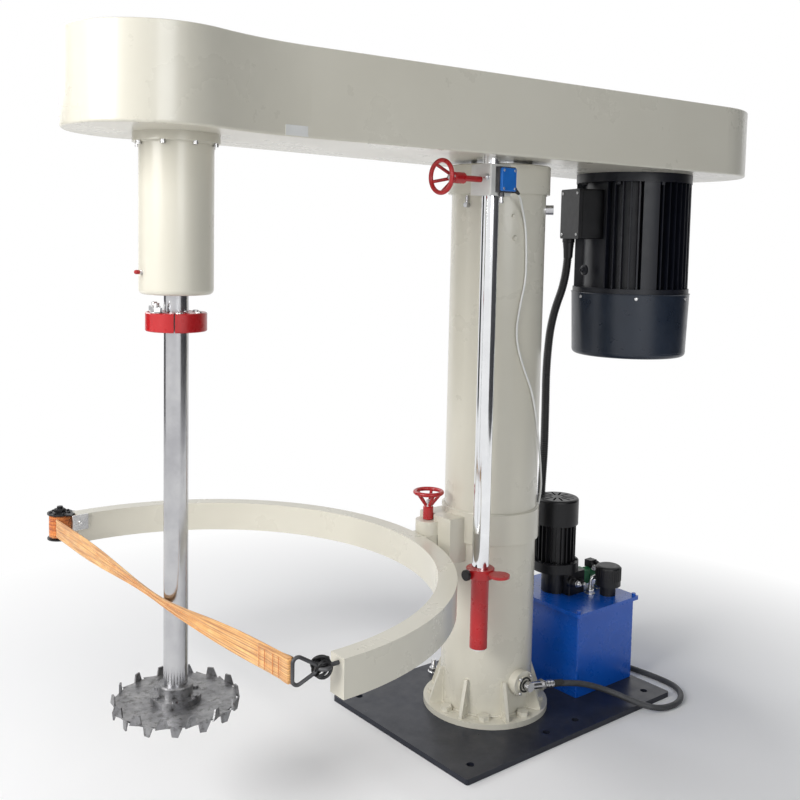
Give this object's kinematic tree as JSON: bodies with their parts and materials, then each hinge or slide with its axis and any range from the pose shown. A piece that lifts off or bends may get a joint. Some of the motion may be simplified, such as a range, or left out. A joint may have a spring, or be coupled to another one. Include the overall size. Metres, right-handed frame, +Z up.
{
  "type": "high-speed disperser",
  "caption": "Floor-standing high-speed disperser: toothed disc on a belt-driven spindle, hydraulic lift column with guide rod, swinging tank arm with strap, oil pack.",
  "frame": {"origin": "on the column's axis, at the floor under the base plate", "axes": "+X along the beam from the spindle to the motor, +Y to the back, +Z up"},
  "size_m": [2.3028, 1.3984, 1.84],
  "materials": {
    "plate_paint": "dark blue-black paint, worn",
    "ivory_paint": "ivory gloss paint",
    "red_paint": "red gloss paint",
    "motor_paint": "navy black paint",
    "cowl_paint": "blue-grey paint",
    "tank_paint": "blue paint",
    "black_paint": "black paint",
    "rod_chrome": "hard chrome",
    "shaft_steel": "turned steel",
    "disc_steel": "worn stainless steel",
    "zinc_bolt": "zinc plated",
    "cast_grey": "machined cast iron",
    "bronze": "bearing bronze",
    "black_plastic": "matt",
    "blue_plastic": "satin",
    "green_plastic": "gloss",
    "cable_white": "satin",
    "hose_grey": "matt",
    "conduit_black": "ribbed",
    "belt_rubber": "matt",
    "strap_webbing": "woven polyester"
  },
  "bodies": {
    "root": {"base_plate": "plate_paint", "column_tube": "ivory_paint", "column_foot": "ivory_paint", "foot_bolts": "zinc_bolt", "column_collar": "ivory_paint", "guide_bushes": "bronze", "oil_port": "ivory_paint", "port_elbow": "zinc_bolt", "lift_hose": "hose_grey", "column_fittings": "zinc_bolt", "guide_block": "ivory_paint", "switch_body": "black_plastic", "switch_cover": "blue_plastic", "switch_cable": "cable_white", "arm_collar": "ivory_paint", "arm_pivot_pin": "shaft_steel", "oil_tank": "tank_paint", "tank_lid": "tank_paint", "pump_manifold": "black_paint", "pump_motor_body": "motor_paint", "pump_motor_cowl": "motor_paint", "solenoid_valve": "green_plastic", "filler_breather": "black_plastic", "gear_pump": "cast_grey", "motor_conduit": "conduit_black"},
    "head": {"beam_shell": "ivory_paint", "beam_lid": "ivory_paint", "ram": "rod_chrome", "ram_piston": "cast_grey", "guide_rod": "rod_chrome", "rod_sleeve": "red_paint", "striker_collar": "red_paint", "striker_knob": "black_plastic", "spindle_housing": "ivory_paint", "spindle_bearings": "shaft_steel", "housing_bolts": "zinc_bolt", "drive_belts": "belt_rubber", "motor_frame": "motor_paint", "motor_cowl": "cowl_paint", "terminal_box": "motor_paint"},
    "spindle": {"spindle_shaft": "shaft_steel", "spindle_pulley": "cast_grey", "stirrer_shaft": "shaft_steel", "shaft_coupling": "red_paint", "coupling_bolts": "zinc_bolt", "dispersing_disc": "disc_steel", "disc_hub": "disc_steel"},
    "rotor": {"motor_rotor": "shaft_steel", "motor_pulley": "cast_grey"},
    "rod_pad": {"rod_lock_pad": "bronze"},
    "rod_wheel": {"rod_lock_wheel": "red_paint"},
    "arm": {"tank_arm": "ivory_paint", "strap_post": "black_paint", "strap_roll": "strap_webbing", "strap": "strap_webbing", "strap_hook": "zinc_bolt"},
    "arm_pad": {"arm_lock_pad": "bronze"},
    "arm_wheel": {"arm_lock_wheel": "red_paint"},
    "plunger": {"switch_plunger": "black_plastic"},
    "pump_shaft": {"pump_rotor": "shaft_steel"}
  },
  "joints": [
    {"name": "head_lift", "type": "slide", "parent": "root", "child": "head", "axis": [0, 0, 1], "range_m": [0, 1.014]},
    {"name": "spindle_spin", "type": "hinge", "parent": "head", "child": "spindle", "pos_m": [-1.025, 0, 1.45], "axis": [0, 0, 1], "continuous": true},
    {"name": "motor_spin", "type": "hinge", "parent": "head", "child": "rotor", "pos_m": [0.621, 0, 1.45], "axis": [0, 0, 1], "continuous": true},
    {"name": "rod_lock_advance", "type": "slide", "parent": "root", "child": "rod_pad", "axis": [1, 0, 0], "range_m": [-0.004, 0]},
    {"name": "rod_lock_turn", "type": "hinge", "parent": "rod_pad", "child": "rod_wheel", "pos_m": [-0.262, -0.13, 1.571], "axis": [1, 0, 0], "range_deg": [-720, 0]},
    {"name": "arm_swing", "type": "hinge", "parent": "root", "child": "arm", "pos_m": [-0.2, 0.052, 0.53], "axis": [0, 0, 1], "range_deg": [-22, 0]},
    {"name": "arm_lock_advance", "type": "slide", "parent": "root", "child": "arm_pad", "axis": [0, 0, 1], "range_m": [0, 0.005]},
    {"name": "arm_lock_turn", "type": "hinge", "parent": "arm_pad", "child": "arm_wheel", "pos_m": [-0.2, 0.052, 0.6], "axis": [0, 0, 1], "range_deg": [0, 720]},
    {"name": "switch_press", "type": "slide", "parent": "root", "child": "plunger", "axis": [0, 0, 1], "range_m": [0, 0.006], "stiffness_N_per_m": 300, "springref_m": -0.01},
    {"name": "pump_spin", "type": "hinge", "parent": "root", "child": "pump_shaft", "pos_m": [0.33, 0.03, 0.45], "axis": [0, 0, 1], "continuous": true}
  ],
  "couplings": [
    {"joint": "motor_spin", "follows": "spindle_spin", "ratio": 0.94915},
    {"joint": "rod_lock_advance", "follows": "rod_lock_turn", "m_per_rad": 0.00031831},
    {"joint": "arm_lock_advance", "follows": "arm_lock_turn", "m_per_rad": 0.00039789}
  ]
}
